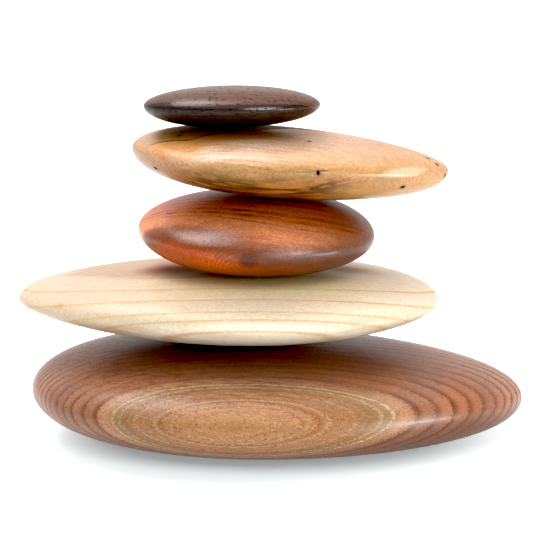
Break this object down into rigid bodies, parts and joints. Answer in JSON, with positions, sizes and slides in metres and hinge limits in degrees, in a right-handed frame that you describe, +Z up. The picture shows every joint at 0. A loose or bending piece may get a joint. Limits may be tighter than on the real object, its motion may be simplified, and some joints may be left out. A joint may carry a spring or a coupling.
{
  "type": "stack of wooden pebbles",
  "caption": "Decorative cairn of smooth lens-shaped wooden pebbles, each shaped from a different wood and balanced on the one beneath, standing on a small sanded flat.",
  "frame": {"origin": "on the surface that the cairn stands on, in the middle of the box round the whole cairn", "axes": "+X to the right as seen from the front, along the longest extent; +Y away from the front; +Z up"},
  "size_m": [0.2072, 0.1502, 0.1445],
  "materials": {
    "walnut": "oiled walnut, sanded satin, with bull's-eye growth rings round a patch of pale sapwood",
    "ash": "pale oiled ash, sanded satin, with thin tan ring lines and a brownish heart streak",
    "mahogany": "oiled red mahogany-like wood, satin, with ribbon stripes and fine pores",
    "maple": "oiled spalted maple, satin, mottled, with black beetle holes and a dark wavy line",
    "rosewood": "dark oiled rosewood, satin, with fine black pore dashes"
  },
  "bodies": {
    "root": {"walnut_pebble": "walnut", "ash_pebble": "ash", "mahogany_pebble": "mahogany", "maple_pebble": "maple", "rosewood_pebble": "rosewood"}
  },
  "joints": []
}
